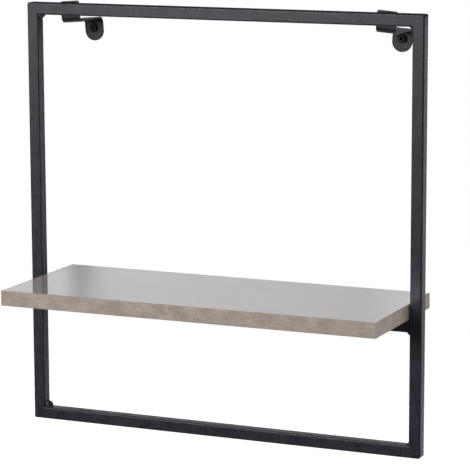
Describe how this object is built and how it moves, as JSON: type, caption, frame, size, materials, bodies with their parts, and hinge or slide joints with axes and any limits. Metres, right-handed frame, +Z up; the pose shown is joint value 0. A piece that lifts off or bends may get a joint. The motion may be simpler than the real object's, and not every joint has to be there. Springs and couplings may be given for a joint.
{
  "type": "wall shelf",
  "caption": "Square black steel tube frame with a grey board lying through it, hung off the wall by bent strip brackets with screws.",
  "frame": {"origin": "on the wall, midway between the two wall screws", "axes": "+X to the viewer's right along the frame, +Y into the wall, +Z up"},
  "size_m": [0.442, 0.174, 0.4523],
  "materials": {
    "powder_coated_steel": "satin black powder coat, fine texture",
    "black_screw_steel": "black phosphate, satin",
    "decor_sheet": "concrete-look melamine, semi-matt",
    "edge_band": "concrete-look ABS, semi-matt",
    "chipboard": "pressed wood chips, all covered"
  },
  "bodies": {
    "root": {"top_tube": "powder_coated_steel", "bottom_tube": "powder_coated_steel", "left_post": "powder_coated_steel", "right_post": "powder_coated_steel", "shelf_rail": "powder_coated_steel", "corner_welds": "powder_coated_steel", "rail_welds": "powder_coated_steel", "left_wall_bracket": "powder_coated_steel", "right_wall_bracket": "powder_coated_steel", "bracket_welds": "powder_coated_steel", "left_wall_screw": "black_screw_steel", "right_wall_screw": "black_screw_steel", "board_screws": "black_screw_steel", "board_core": "chipboard", "top_face_sheet": "decor_sheet", "bottom_face_sheet": "decor_sheet", "front_edge_band": "edge_band", "back_edge_band": "edge_band", "left_edge_band": "edge_band", "right_edge_band": "edge_band"}
  },
  "joints": []
}
